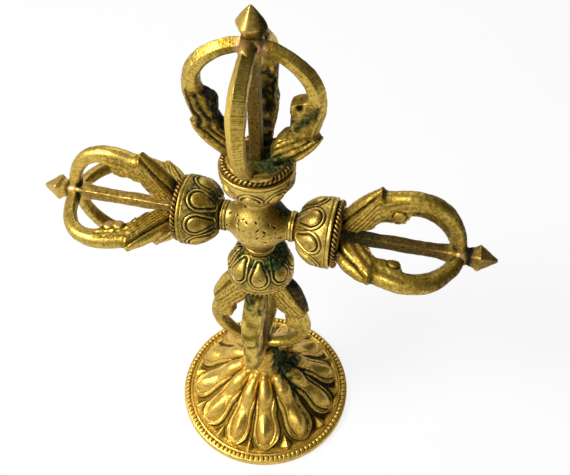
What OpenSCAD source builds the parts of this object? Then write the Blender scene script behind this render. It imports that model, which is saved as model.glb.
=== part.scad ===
// Crossed double vajra standing on a round lotus base, cast and brazed brass.
// Millimetres, +Z up, origin at the middle of the base's underside, front towards -Y.
// Every arm is drawn along +Z from the middle of the hub and then turned into place.

/* [Overall] */
// Height of the middle of the hub above the table
hub_h = 71.4; // [66:0.2:84]
// Middle of the hub to the tip of a side arm
side_arm_l = 50; // [48:0.2:60]
// Middle of the hub to the tip of the top arm
top_arm_l = 49; // [48:0.2:60]
// Clearance on the diameter of every tenon and peg
fit_gap = 0.1; // [0.04:0.02:0.2]

/* [Hub] */
// Diameter of the ball
hub_d = 12.4; // [11.6:0.1:15]
// Middle of the hub to the flat that a neck seats on
hub_flat_s = 5.6; // [5.2:0.1:5.7]
// Diameter of the tenon that holds a bulb in the hub
tenon_d = 4; // [3:0.1:4.4]
// Length of that tenon
tenon_l = 2.8; // [2:0.1:3]

/* [Lotus bulbs] */
// Diameter of the neck between the hub and the collar
neck_d = 5.2; // [4.8:0.1:6]
// Length of the neck
neck_l = 1.2; // [0.8:0.1:2]
// Diameter of the collar
collar_d = 6.8; // [6.2:0.1:7.6]
// Length of the collar
collar_l = 1.6; // [1:0.1:2.4]
// Length of the plain brim above the petals
brim_l = 0.9; // [0.5:0.1:2]
// Greatest diameter of the bulb
bulb_d = 15.4; // [14.8:0.1:17]
// Petals round a bulb
bulb_petals = 8; // [6:1:10]
// Height of the petals' relief
bulb_relief = 0.35; // [0.2:0.05:0.6]
// Height of the mouth above the brim
mouth_l = 1.6; // [1.4:0.1:2.4]
// Diameter of the flat mouth that the prongs stand on
mouth_d = 12.2; // [11.8:0.1:13]

/* [Rope rings] */
// Thickness of the twisted square wire, across its corners
rope_d = 1.3; // [1:0.05:1.4]
// Quarter turns of the twist round the ring
rope_lays = 40; // [24:4:48]

/* [Spindles] */
// Side of the square bar
spindle_w = 2.4; // [2:0.1:3]
// Diameter of the tenon that holds a spindle in a bulb
spindle_tenon_d = 2; // [1.6:0.1:2.4]
// Depth of that tenon
spindle_tenon_l = 4; // [2:0.1:5]
// Side of the finial at its widest
finial_w = 4.2; // [3.4:0.1:5]
// Height of the flare under a side finial
flare_h = 2.1; // [1.4:0.1:3]
// Height of the flare under the top finial
top_flare_h = 1.3; // [0.8:0.1:2]

/* [Prongs] */
// Middle of the hub to the outer face of the prongs where they meet the spindle
prong_end_s = 43.5; // [40:0.1:43.8]
// Middle of the hub to the widest point of a prong
prong_wide_s = 31; // [30:0.1:32]
// Arm's axis to the ridge of a prong at its widest point
prong_ridge_r = 13.7; // [12:0.1:15]
// How far the most bent prong stands off the others
hand_bend = 1.2; // [0.6:0.1:1.4]
// Extra length of the roots of the lower prongs
low_drop = 4.3; // [3:0.1:5]
// How far a prong's root stands out over the rope ring
root_overhang = 0.8; // [0.4:0.1:1]
// Depth of the bar, from its ridge to its inner face
bar_depth = 3.1; // [2.4:0.1:3.6]
// Width of the bar
bar_w = 3.3; // [2.6:0.1:3.8]
// Width of the bar where it meets the spindle
tip_w = 2.3; // [1.6:0.1:2.3]
// Width of the beast's head
head_w = 4.6; // [3.8:0.1:5]
// Height of the beak above the bar
beak_h = 0.9; // [0.3:0.1:1.4]
// Diameter of the peg that holds a prong in its bulb
peg_d = 1.8; // [1.2:0.1:2.2]
// Length of that peg
peg_l = 2; // [1:0.1:3]

/* [Lotus base] */
// Diameter of the base
base_d = 48; // [46:0.2:56]
// Thickness of the rim
rim_h = 1.9; // [1.6:0.1:3]
// Width of the beaded border on the rim
border_w = 1.7; // [1.2:0.1:2.4]
// Height of the border above the rim
border_h = 0.6; // [0.3:0.1:1]
// Width of the flat channel inside the border
channel_w = 1.8; // [1.2:0.1:2.4]
// Height of the shoulder that the petals start from
shoulder_h = 16.4; // [14:0.1:18]
// Radius of that shoulder
shoulder_r = 6.4; // [6:0.1:8]
// Diameter of the stem that carries the lower head
stem_d = 7.4; // [6.6:0.1:9]
// Space between the stem and the lower prongs
stem_gap = 0.3; // [0:0.05:1]
// Petals round the base
base_petals = 12; // [10:1:14]
// Width of a petal at its fullest
petal_w = 4.9; // [4:0.1:5.4]
// Width of the blade that shows round a petal
blade_w = 0.9; // [0.5:0.1:1.2]
// Height of the petals' relief
petal_h = 2; // [1:0.1:2.6]
// Width of the small three-sided boss between the petals' outer ends
wedge_w = 2.6; // [1.6:0.1:3]
// Height of that boss
wedge_h = 1.2; // [0.6:0.1:1.6]
// Wall of the hollow base
base_wall = 1.8; // [1.2:0.1:2.4]
// Diameter of the tenon that holds the lower spindle in the stem
foot_tenon_d = 2.2; // [1.8:0.1:2.4]
// Diameter of the peened end under the base
rivet_d = 4.6; // [3.6:0.1:6]
// Height of the peened end
rivet_h = 1.2; // [0.8:0.1:2]

/* [Hidden] */
$fn = 64;
HEADS = ["top", "left", "right", "low"];
UPRIGHT_SIDES = ["right", "back", "left", "front"];
LEFT_SIDES = ["up", "back", "down", "front"];
RIGHT_SIDES = ["down", "back", "up", "front"];
function sides(head) = head == "left" ? LEFT_SIDES : head == "right" ? RIGHT_SIDES : UPRIGHT_SIDES;

// Stations along an arm, measured from the middle of the hub
collar_s = hub_flat_s + neck_l;
bulb_s = collar_s + collar_l;
ball_s = bulb_s + sqrt(pow(bulb_d / 2, 2) - pow(collar_d / 2 - 0.2, 2));
brim_s = ball_s + brim_l;
mouth_s = brim_s + mouth_l;
rope_s = brim_s + mouth_l / 2;
rope_r = mouth_d / 2 + rope_d / 2;

// The prong's root stands on the mouth and keeps clear of the spindle
root_out_r = mouth_d / 2 + root_overhang;
root_in_r = mouth_d / 4;
peg_r = mouth_d * 0.375;
spindle_r = spindle_w / 2;
prong_len = prong_end_s - mouth_s;
arch_len = prong_end_s - prong_wide_s;
arch_power = 2.14;

// Each prong is bent by hand: the share of hand_bend that it stands out further than prong_ridge_r
BEND_SHARES = [
    ["top_right", -0.33],
    ["left_up", 0.33],
    ["left_front", 1],
    ["right_up", 1],
    ["right_front", -1],
    ["low_right", -1]
];

// Stations of a prong's root: [ridge along, ridge out, inner edge along, inner edge out, width], as shares
// The beast's root rises to its beak and drops to a notch behind it
beak_share = 0.27;
BEAST_ROOT_SHARES = [
    [0, 0, 0, 0, 0.86],
    [0.06, 0.28, 0.1, 0, 0.95],
    [0.14, 0.52, 0.19, 0.02, 1],
    [0.22, 0.8, 0.25, 0.1, 0.94],
    [beak_share, 0.98, 0.285, 0.3, 1],
    [0.305, 0.84, 0.325, 0.36, 0.95]
];
PLAIN_ROOT_SHARES = [
    [0, 0, 0, 0, 1],
    [0.06, 0.3, 0.09, 0.22, 1],
    [0.14, 0.56, 0.16, 0.55, 1],
    [0.22, 0.8, 0.24, 0.8, 1],
    [0.27, 0.92, 0.29, 0.9, 1]
];

// Half sections of a prong, as [share of the depth from the ridge, share of the half width]
// The horn is a leaf on the mane, deep at the mouth and drawn to a point at the beak
HORN_MOUTH_SHARES = [[0.04, 0.45], [0.18, 0.66], [0.36, 0.5], [0.46, 0.92], [0.8, 1], [1, 0.55]];
HORN_BEAK_SHARES = [[0.02, 0.14], [0.05, 0.22], [0.11, 0.36], [0.3, 0.82], [0.7, 1], [1, 0.55]];
CURL_SHARES = [[0.1, 0.5], [0.24, 0.84], [0.42, 0.66], [0.6, 0.92], [0.85, 0.9], [1, 0.5]];
ROOF_SHARES = [[0.16, 0.52], [0.32, 0.92], [0.47, 0.98], [0.62, 1], [0.84, 0.84], [1, 0.55]];
ROUND_SHARES = [[0.06, 0.5], [0.18, 0.82], [0.36, 0.98], [0.6, 1], [0.86, 0.8], [1, 0.45]];
function horn_shares(u) = HORN_MOUTH_SHARES + (HORN_BEAK_SHARES - HORN_MOUTH_SHARES) * min(u, 1);

// Heights on the base
stem_top_h = hub_h - prong_end_s - low_drop - stem_gap;
petal_out_r = base_d / 2 - border_w - channel_w;
border_in_r = base_d / 2 - border_w;
ground_h = shoulder_h - petal_h;
ceiling_h = ground_h - base_wall;
petal_turn = 20;
stem_steps = 6;

BRASS = [0.66, 0.5, 0.2];
OLD_BRASS = [0.55, 0.41, 0.17];
DARK_BRASS = [0.42, 0.31, 0.13];
PALE_BRASS = [0.78, 0.6, 0.26];

// Turns an arm drawn along +Z into the place of one of the four heads
module arm(head) {
    turn = head == "left" ? -90 : head == "right" ? 90 : 0;
    translate([0, 0, hub_h])
        rotate([0, turn, 0])
            mirror([0, 0, head == "low" ? 1 : 0])
                children();
}

// Places a child drawn along +X on each of the four sides of an arm
module four_sides() {
    for (i = [0:3])
        rotate([0, 0, 90 * i])
            children();
}

// Faces of a skin over rings of n points each, closed by a flat cap at both ends
function skin_faces(rings, n) = concat(
    [[for (j = [0:n - 1]) j]],
    [for (i = [0:rings - 2]) for (j = [0:n - 1])
        let (a = i * n + j, b = i * n + (j + 1) % n)
        each [[a, b + n, b], [a, a + n, b + n]]],
    [[for (j = [n - 1:-1:0]) (rings - 1) * n + j]]
);

// Faces of a skin over rings of n points each, closed on itself
function hoop_faces(rings, n) = [
    for (i = [0:rings - 1]) for (j = [0:n - 1])
        let (a = i * n + j, b = i * n + (j + 1) % n, c = ((i + 1) % rings) * n)
        each [[a, b, c + (j + 1) % n], [a, c + (j + 1) % n, c + j]]
];

// Ball at the crossing, flattened and bored for the four bulbs
module hub() {
    color(OLD_BRASS)
        difference() {
            translate([0, 0, hub_h])
                sphere(d = hub_d);
            for (head = HEADS)
                arm(head) {
                    translate([0, 0, hub_flat_s])
                        cylinder(d = hub_d, h = hub_d);
                    translate([0, 0, hub_flat_s - tenon_l - fit_gap])
                        cylinder(d = tenon_d + fit_gap, h = tenon_l + hub_d);
                }
        }
}

// Outline of one petal of a bulb, seen along the arm: slim at the collar and round at its outer end
module bulb_petal_outline() {
    half = bulb_d / 2 * sin(180 / bulb_petals) * 0.74;
    root = collar_d / 2 + 0.2;
    reach = bulb_d / 2 + bulb_relief - 0.25 - root;
    side = [[0, 0.25], [0.3, 0.66], [0.6, 0.95], [0.8, 1], [0.93, 0.72], [1, 0.25]];
    polygon(concat(
        [for (p = side) [root + reach * p[0], half * p[1]]],
        [for (i = [len(side) - 1:-1:0]) [root + reach * side[i][0], -half * side[i][1]]]
    ));
}

// Lotus bulb with its collar, neck and tenon, bored for the spindle and the four prongs
module lotus_bulb(head) {
    color(OLD_BRASS)
        arm(head)
            difference() {
                union() {
                    translate([0, 0, hub_flat_s - tenon_l])
                        cylinder(d = tenon_d, h = tenon_l + neck_l);
                    translate([0, 0, hub_flat_s])
                        cylinder(d = neck_d, h = ball_s - hub_flat_s);
                    translate([0, 0, collar_s])
                        cylinder(d = collar_d, h = collar_l);
                    intersection() {
                        translate([0, 0, ball_s])
                            sphere(d = bulb_d);
                        translate([0, 0, bulb_s])
                            cylinder(d = bulb_d + 1, h = ball_s - bulb_s);
                    }
                    intersection() {
                        translate([0, 0, ball_s])
                            sphere(d = bulb_d + 2 * bulb_relief);
                        for (i = [0:bulb_petals - 1])
                            rotate([0, 0, 360 * (i + 0.5) / bulb_petals])
                                translate([0, 0, bulb_s])
                                    linear_extrude(ball_s - bulb_s)
                                        bulb_petal_outline();
                    }
                    translate([0, 0, ball_s])
                        cylinder(d = bulb_d, h = brim_l);
                    translate([0, 0, ball_s - brim_l])
                        cylinder(d = mouth_d, h = mouth_s - ball_s + brim_l);
                }
                translate([0, 0, mouth_s - spindle_tenon_l - fit_gap])
                    cylinder(d = spindle_tenon_d + fit_gap, h = spindle_tenon_l + 1);
                four_sides()
                    translate([peg_r, 0, mouth_s - peg_l - fit_gap])
                        cylinder(d = peg_d + fit_gap, h = peg_l + 1);
            }
}

// Ring of twisted square wire round the mouth of a bulb
module rope_ring(head) {
    steps = rope_lays * 2;
    points = [
        for (i = [0:steps - 1]) for (j = [0:3])
            let (a = 360 * i / steps, b = 90 * j + 45 * i, r = rope_r + rope_d / 2 * cos(b))
            [r * cos(a), r * sin(a), rope_s + rope_d / 2 * sin(b)]
    ];
    color(DARK_BRASS)
        arm(head)
            polyhedron(points, hoop_faces(steps, 4));
}

// Point on an arch of the prong at angle t, -90 towards the root and 90 towards the tip
function arch(t, len, r) = [
    prong_wide_s + len * sign(sin(t)) * pow(abs(sin(t)), 2 / arch_power),
    r * pow(abs(cos(t)), 2 / arch_power)
];

// Stations of the prong: [ridge point, inner point, half width, half section], points as [along the arm, from its axis]
function root_stations(plain, bar, ridge_r, drop) =
    let (
        top_r = arch(-24, arch_len, ridge_r)[1] + (plain ? 0 : beak_h),
        low_r = plain ? ridge_r - bar_depth : ridge_r,
        half = plain ? bar_w / 2 : head_w / 2
    )
    [
        for (k = plain ? PLAIN_ROOT_SHARES : BEAST_ROOT_SHARES)
            [
                [mouth_s + k[0] * (prong_len + drop / beak_share), root_out_r + (top_r - root_out_r) * k[1]],
                [mouth_s + k[2] * (prong_len + drop / 0.3), root_in_r + (low_r - root_in_r) * k[3]],
                half * k[4],
                plain ? bar : horn_shares(k[0] / beak_share)
            ]
    ];

function bar_stations(plain, bar, ridge_r, drop) = [
    for (t = [-14, -4, 6, 13, 18, 26, 34, 42, 50, 58, 66, 74, 82])
        let (
            out = arch(t, arch_len, ridge_r),
            bar_in = arch(t, arch_len - bar_depth * 0.9, ridge_r - bar_depth),
            curl = !plain && t < 15,
            wide = curl ? head_w * (t < 10 ? 0.82 : 0.7) : bar_w + (tip_w - bar_w) * max(0, (t - 50) / 40),
            inn = curl ? [bar_in[0], ridge_r * (t < 10 ? 0.53 : 0.58)] : bar_in
        )
        [out + [drop, 0], inn + [drop, 0], wide / 2, curl ? CURL_SHARES : bar]
];

function tip_station(bar, drop) = [
    [prong_end_s + drop, spindle_r],
    [prong_end_s + drop - bar_depth * 0.9, spindle_r],
    tip_w / 2,
    bar
];

// Whole section of a station: the ridge, one half section and the other
function prong_section(st) =
    let (half = st[3], both = concat([[0, 0]], half, [for (i = [len(half) - 1:-1:0]) [half[i][0], -half[i][1]]]))
    [for (k = both)
        let (p = st[0] + (st[1] - st[0]) * k[0])
        [p[1], st[2] * k[1], p[0]]];

// Curved prong with its peg; a plain one has no beast's head, and the top ones are filed to a roof
module prong(head, side) {
    plain = head == "top" && side == "front";
    bar = head == "top" ? ROOF_SHARES : ROUND_SHARES;
    bent = search([str(head, "_", side)], BEND_SHARES)[0];
    ridge_r = prong_ridge_r + (is_num(bent) ? hand_bend * BEND_SHARES[bent][1] : 0);
    drop = head == "low" ? low_drop : 0;
    stations = concat(
        root_stations(plain, bar, ridge_r, drop),
        bar_stations(plain, bar, ridge_r, drop),
        [tip_station(bar, drop)]
    );
    sections = [for (st = stations) prong_section(st)];
    turn = 90 * search([side], sides(head))[0];
    color(BRASS)
        arm(head)
            rotate([0, 0, turn])
                union() {
                    polyhedron([for (ring = sections) each ring], skin_faces(len(sections), len(sections[0])));
                    translate([peg_r, 0, mouth_s - peg_l])
                        cylinder(d = peg_d, h = peg_l + 0.5);
                }
}

// Square bar with its tenon; three end in a pyramid and the lower one goes through the base
module spindle(head) {
    corner = sqrt(2) / 2;
    tip_s = head == "top" ? top_arm_l : side_arm_l;
    bar_end_s = prong_end_s + stem_gap + (head == "low" ? low_drop : 0);
    flare = head == "top" ? top_flare_h : flare_h;
    color(BRASS)
        arm(head) {
            translate([0, 0, mouth_s - spindle_tenon_l])
                cylinder(d = spindle_tenon_d, h = spindle_tenon_l + 1);
            translate([-spindle_r, -spindle_r, mouth_s])
                cube([spindle_w, spindle_w, bar_end_s - mouth_s]);
            if (head == "low") {
                translate([0, 0, bar_end_s - 1])
                    cylinder(d = foot_tenon_d, h = hub_h - ceiling_h - bar_end_s + 1);
                translate([0, 0, hub_h - ceiling_h])
                    cylinder(d1 = rivet_d, d2 = rivet_d * 0.6, h = rivet_h);
            } else {
                translate([0, 0, bar_end_s])
                    rotate([0, 0, 45])
                        cylinder(d1 = spindle_w / corner, d2 = finial_w / corner, h = flare, $fn = 4);
                translate([0, 0, bar_end_s + flare])
                    rotate([0, 0, 45])
                        cylinder(
                            d1 = finial_w / corner,
                            d2 = 0.3,
                            h = tip_s - bar_end_s - flare,
                            $fn = 4
                        );
            }
        }
}

// Outline of one long petal of the base, seen from above: slim at the shoulder, waisted and full at its end
module base_petal_outline(border) {
    run = petal_out_r - shoulder_r * 0.85 - blade_w + border;
    side = [[0, 0.58], [0.22, 0.82], [0.46, 0.78], [0.7, 1], [0.82, 0.92], [0.93, 0.66], [1, 0.3]];
    half = petal_w / 2;
    polygon(concat(
        [for (p = side) [shoulder_r * 0.85 + run * p[0], half * p[1] + border]],
        [for (i = [len(side) - 1:-1:0]) [shoulder_r * 0.85 + run * side[i][0], -half * side[i][1] - border]]
    ));
}

// Body over the petals: two swellings with a waist between them
module petal_body(lift) {
    swell = [[0, 0.6], [0.2, 1.05], [0.44, 0.8], [0.7, 1.35], [0.86, 1], [1, 0.4]];
    rotate_extrude()
        polygon([
            [0, rim_h / 2],
            [0, ground_h + lift * 0.6],
            for (p = swell)
                [
                    shoulder_r + (petal_out_r - shoulder_r) * p[0],
                    ground_h + (rim_h - ground_h) * p[0] + lift * p[1]
                ],
            [petal_out_r, rim_h / 2]
        ]);
}

// Point on the stem's flared side, from its top at 0 to the shoulder at 1
function stem_point(u) = [
    stem_d / 2 + (shoulder_r - stem_d / 2) * (1 - sqrt(1 - u * u)),
    stem_top_h + (ground_h - stem_top_h) * u
];

// Hollow lotus base with long petals, a plain channel, a raised border and a stem
module lotus_base() {
    color(PALE_BRASS)
        difference() {
            union() {
                rotate_extrude()
                    polygon([
                        [0, 0],
                        [0, stem_top_h],
                        for (i = [0:stem_steps]) stem_point(i / stem_steps),
                        [petal_out_r, rim_h],
                        [border_in_r, rim_h],
                        [border_in_r + border_h, rim_h + border_h],
                        [base_d / 2 - border_h, rim_h + border_h],
                        [base_d / 2, rim_h],
                        [base_d / 2, 0]
                    ]);
                for (i = [0:base_petals - 1])
                    rotate([0, 0, 360 * (i + 0.5) / base_petals + petal_turn])
                        translate([petal_out_r - wedge_w * 0.3, 0, rim_h - 0.5])
                            rotate([0, 0, 180])
                                cylinder(d1 = wedge_w * 1.3, d2 = 0.2, h = wedge_h + 0.5, $fn = 3);
                for (tier = [[blade_w, 0.3], [0, 1]])
                    intersection() {
                        petal_body(petal_h * tier[1]);
                        for (i = [0:base_petals - 1])
                            rotate([0, 0, 360 * i / base_petals + petal_turn])
                                linear_extrude(ground_h + 2 * petal_h)
                                    base_petal_outline(tier[0]);
                    }
            }
            rotate_extrude()
                polygon([
                    [0, -1],
                    [0, ceiling_h],
                    [shoulder_r - base_wall * 0.4, ceiling_h],
                    [petal_out_r - base_wall * 1.4, 0],
                    [petal_out_r - base_wall * 1.4, -1]
                ]);
            translate([0, 0, ceiling_h - 1])
                cylinder(d = foot_tenon_d + fit_gap, h = stem_top_h);
        }
}

hub();
for (head = HEADS) {
    lotus_bulb(head);
    rope_ring(head);
    spindle(head);
    for (side = sides(head))
        prong(head, side);
}
lotus_base();
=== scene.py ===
"""Looks of a crossed double vajra on a lotus base, cast in brass, filed, brazed and aged.

Lengths are in millimetres until a mesh is made, which is in metres, in the frame of the CAD model.
Along an arm, s is the way from the middle of the hub and r the way from the arm's axis.
"""
import math

import bpy
import numpy as np
from mathutils import Matrix, Vector


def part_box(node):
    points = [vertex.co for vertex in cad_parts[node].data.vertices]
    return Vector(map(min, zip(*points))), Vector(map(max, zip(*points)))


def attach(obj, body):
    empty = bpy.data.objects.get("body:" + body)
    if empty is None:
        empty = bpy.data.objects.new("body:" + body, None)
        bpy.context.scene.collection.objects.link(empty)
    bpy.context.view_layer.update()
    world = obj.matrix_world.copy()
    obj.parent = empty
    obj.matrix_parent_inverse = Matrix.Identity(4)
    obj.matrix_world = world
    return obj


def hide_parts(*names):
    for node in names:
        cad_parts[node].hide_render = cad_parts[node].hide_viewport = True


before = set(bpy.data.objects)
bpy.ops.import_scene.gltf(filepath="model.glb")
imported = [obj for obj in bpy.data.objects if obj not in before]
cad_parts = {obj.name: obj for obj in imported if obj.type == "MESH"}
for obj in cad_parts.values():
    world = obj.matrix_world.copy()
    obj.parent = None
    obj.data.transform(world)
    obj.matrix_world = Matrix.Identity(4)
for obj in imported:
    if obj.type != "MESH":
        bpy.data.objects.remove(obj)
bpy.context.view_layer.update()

MM = 0.001
FULL_TURN = 2 * math.pi
X, Y, Z = np.eye(3)
ARMS = {"top": Z, "low": -Z, "left": -X, "right": X}
SIDES = {"right": X, "left": -X, "back": Y, "front": -Y, "up": Z, "down": -Z}


def box_mm(node):
    """Lowest and highest corner of a CAD node, in millimetres."""
    low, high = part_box(node)
    return np.array(low) / MM, np.array(high) / MM


def on_arm(node, head):
    """Where a node starts and ends along its arm, from the middle of the hub."""
    low, high = box_mm(node)
    return sorted(((low - HUB) @ ARMS[head], (high - HUB) @ ARMS[head]))


def reach_out(node, side):
    """How far a node stands out from its arm's axis on one side."""
    low, high = box_mm(node)
    return max((low - HUB) @ SIDES[side], (high - HUB) @ SIDES[side])


def sides_of(head):
    """The four sides that a head's prongs stand on."""
    return ["right", "back", "left", "front"] if head in ("top", "low") else ["up", "back", "down", "front"]


# Driving sizes, taken from the frame
hub_low, hub_high = box_mm("hub")
HUB = (hub_low + hub_high) / 2
HUB_R = (hub_high[1] - hub_low[1]) / 2
MOUTH_S = on_arm("lotus_bulb_top", "top")[1]
BULB_R = reach_out("lotus_bulb_top", "back")
RING_S = sum(on_arm("rope_ring_top", "top")) / 2
RING_OUT_R = reach_out("rope_ring_top", "back")
END_S = on_arm("prong_top_left", "top")[1]
TIP_S = {head: on_arm("spindle_" + head, head)[1] for head in ARMS}
BASE_R = box_mm("lotus_base")[1][0]
STEM_TOP = box_mm("lotus_base")[1][2]
LOW_END_S = HUB[2] - STEM_TOP


# Noise and curves

HASH_PRIMES = (73856093, 19349663, 83492791, 2654435761)
MIX_A, MIX_B = np.uint64(2246822519), np.uint64(3266489917)
WORD = 0xFFFFFFFF


def lattice(ix, iy, iz, seed):
    """A fixed random number from 0 to 1 for each lattice point."""
    px, py, pz, ps = HASH_PRIMES
    n = (ix * px) ^ (iy * py) ^ (iz * pz) ^ (seed * ps)
    n = (n & WORD).astype(np.uint64)
    n = (n ^ (n >> np.uint64(15))) * MIX_A & np.uint64(WORD)
    n = (n ^ (n >> np.uint64(13))) * MIX_B & np.uint64(WORD)
    return (n ^ (n >> np.uint64(16))).astype(float) / WORD


def noise(points, size, seed):
    """Smooth noise from -1 to 1, with grains about size across."""
    p = np.asarray(points, float) / size
    cell = np.floor(p).astype(np.int64)
    f = p - cell
    f = f * f * (3 - 2 * f)
    total = 0
    for corner in np.ndindex(2, 2, 2):
        weight = 1
        for k in range(3):
            weight = weight * (f[..., k] if corner[k] else 1 - f[..., k])
        total = total + weight * lattice(*(cell[..., k] + corner[k] for k in range(3)), seed)
    return total * 2 - 1


def smooth(low, high, x):
    """Smooth step from 0 at low to 1 at high."""
    t = np.clip((x - low) / (high - low), 0, 1)
    return t * t * (3 - 2 * t)


def bump(x, width):
    """Round bump of height 1 at x = 0."""
    return np.exp(-((x / width) ** 2))


def rounded(x):
    """Quarter-round edge: 0 at x = 0 and 1 from x = 1 on."""
    return np.sqrt(np.clip(1 - (1 - np.clip(x, 0, 1)) ** 2, 0, 1))


def spline(rows, count):
    """Even samples on a smooth curve through the rows."""
    rows = np.asarray(rows, float)
    ext = np.vstack([2 * rows[0] - rows[1], rows, 2 * rows[-1] - rows[-2]])
    t = np.linspace(0, len(rows) - 1 - 1e-9, count)
    i = t.astype(int)
    f = (t - i)[:, None]
    p0, p1, p2, p3 = ext[i], ext[i + 1], ext[i + 2], ext[i + 3]
    second = 2 * p0 - 5 * p1 + 4 * p2 - p3
    third = 3 * p1 - p0 - 3 * p2 + p3
    return 0.5 * (2 * p1 + (p2 - p0) * f + second * f**2 + third * f**3)


def curve(x, knots, values):
    """Values on a smooth curve through the knots, and next to nothing outside them."""
    dense = spline(np.stack([knots, values], -1), 40 * len(knots))
    return np.interp(x, dense[:, 0], dense[:, 1], left=0.01, right=0.01)


def path(points, step):
    """Points along straight runs, no further apart than step."""
    out = []
    for a, b in zip(points[:-1], points[1:]):
        a, b = np.array(a, float), np.array(b, float)
        count = max(1, math.ceil(np.linalg.norm(b - a) / step))
        out += [a + (b - a) * k / count for k in range(count)]
    return np.array(out + [np.array(points[-1], float)])


# Grids of points, closed round their columns, and the pieces made from them

def turns(count):
    """Even angles round a full turn, as one row."""
    return np.linspace(0, FULL_TURN, count, endpoint=False)[None, :]


def ball(rows, cols, pole=0.03):
    """Unit rays in rows from one end of X to the other. Each pole is open by a small angle."""
    polar = np.linspace(pole, math.pi - pole, rows)[:, None]
    turn = turns(cols)
    return np.stack([np.cos(polar) + 0 * turn, np.sin(polar) * np.cos(turn), np.sin(polar) * np.sin(turn)], -1)


def round_arm(head, s, r, turn):
    """Points round an arm's axis, turned from the first of its sides."""
    axis = ARMS[head]
    out = SIDES[sides_of(head)[0]]
    ray = out * np.cos(turn)[..., None] + np.cross(axis, out) * np.sin(turn)[..., None]
    return HUB + axis * s[..., None] + ray * r[..., None]


def shift(grid, k, axis, loop):
    """The grid moved k places along an axis, round a loop or held at its ends."""
    if loop:
        return np.roll(grid, -k, axis)
    index = np.clip(np.arange(grid.shape[axis]) + k, 0, grid.shape[axis] - 1)
    return np.take(grid, index, axis)


def normals(grid, loop_rows=False):
    """Unit normals of a grid, pointing out of the solid."""
    along = shift(grid, 1, 0, loop_rows) - shift(grid, -1, 0, loop_rows)
    around = np.roll(grid, -1, 1) - np.roll(grid, 1, 1)
    n = np.cross(along, around)
    area = np.linalg.norm(n, axis=-1)
    n = n / (area[..., None] + 1e-12)
    centre = grid.reshape(-1, 3).mean(0)
    volume = np.sum(np.sum((grid - centre) * n, -1) * area)
    return n if volume > 0 else -n


def hollows(grid, loop_rows=False, reach=2):
    """How hollow the surface is at each point: above 0 in grooves, below 0 on edges."""
    near = [shift(grid, k, 0, loop_rows) for k in (-reach, reach)]
    near += [np.roll(grid, k, 1) for k in (-reach, reach)]
    gap = sum(np.linalg.norm(p - grid, axis=-1) for p in near) / 4 + 1e-6
    return np.sum((sum(near) / 4 - grid) * normals(grid, loop_rows), -1) / gap


def make_piece(name, grid, node, slot, material, loop_rows=False, **fields):
    """A mesh piece from a grid, with a number at each point for each field that its material reads."""
    rows, cols = grid.shape[:2]
    index = np.arange(rows * cols).reshape(rows, cols)
    next_row = np.roll(index, -1, 0) if loop_rows else index[1:]
    this_row = index if loop_rows else index[:-1]
    corners = [this_row, next_row, np.roll(next_row, -1, 1), np.roll(this_row, -1, 1)]
    quads = np.stack(corners, -1).reshape(-1, 4)
    points = grid.reshape(-1, 3)
    a, b, c, d = (points[quads[:, k]] - points.mean(0) for k in range(4))
    volume = np.sum(a * np.cross(b, c)) + np.sum(a * np.cross(c, d))
    faces = quads.tolist() if volume > 0 else quads[:, ::-1].tolist()
    if not loop_rows:
        ends = [index[0].tolist()[::-1], index[-1].tolist()]
        faces += [e[::-1] for e in ends] if volume > 0 else ends
    mesh = bpy.data.meshes.new(name)
    mesh.from_pydata((points * MM).tolist(), [], faces)
    mesh.polygons.foreach_set("use_smooth", np.ones(len(mesh.polygons), bool))
    for field, values in fields.items():
        values = np.broadcast_to(values, (rows, cols)).reshape(-1).astype(np.float32)
        mesh.attributes.new(field, "FLOAT", "POINT").data.foreach_set("value", values)
    mesh.materials.append(material)
    piece = bpy.data.objects.new(name, mesh)
    bpy.context.scene.collection.objects.link(piece)
    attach(piece, "root")
    if node:
        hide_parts(node)
    return piece


# Materials. Each reads a piece's fields: hollow (grooves and soil, and on some pieces painted light and shade),
# stain (verdigris, on some pieces also laid as painted shade) and solder. The prongs' brass also reads along (the
# way along the bar) and filed (how much its file marks show).

def srgb(red, green, blue):
    """A linear colour from its 0 to 255 screen values."""
    return [((c / 255 + 0.055) / 1.055) ** 2.4 if c > 10 else c / 3295 for c in (red, green, blue)] + [1]


class Nodes:
    """Short calls for a material's nodes. A socket is linked, and any other value is set."""

    def __init__(self, tree):
        self.tree = tree
        tree.nodes.clear()

    def put(self, socket, value):
        if isinstance(value, bpy.types.NodeSocket):
            self.tree.links.new(value, socket)
        else:
            socket.default_value = value

    def add(self, kind, inputs=None, **settings):
        node = self.tree.nodes.new(kind)
        for name, value in settings.items():
            setattr(node, name, value)
        for name, value in (inputs or {}).items():
            self.put(node.inputs[name], value)
        return node

    def math(self, operation, a, b):
        return self.add("ShaderNodeMath", {0: a, 1: b}, operation=operation).outputs[0]

    def field(self, name):
        return self.add("ShaderNodeAttribute", attribute_name=name).outputs["Fac"]

    def noise(self, scale, detail):
        place = self.add("ShaderNodeTexCoord").outputs["Object"]
        inputs = {"Vector": place, "Scale": scale, "Detail": detail}
        return self.add("ShaderNodeTexNoise", inputs).outputs["Fac"]

    def ramp(self, value, low, high, to_low=0.0, to_high=1.0):
        inputs = {0: value, 1: low, 2: high, 3: to_low, 4: to_high}
        return self.add("ShaderNodeMapRange", inputs, interpolation_type="SMOOTHSTEP").outputs[0]

    def blend(self, factor, a, b):
        return self.add("ShaderNodeMix", {0: factor, 6: a, 7: b}, data_type="RGBA").outputs[2]

    def relief(self, height, strength, depth, normal=None):
        inputs = {"Strength": strength, "Distance": depth, "Height": height}
        if normal is not None:
            inputs["Normal"] = normal
        return self.add("ShaderNodeBump", inputs).outputs[0]


VERDIGRIS = srgb(84, 98, 32)
BLACK_GREEN = srgb(17, 25, 4)
SOLDER = srgb(204, 162, 118)
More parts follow.
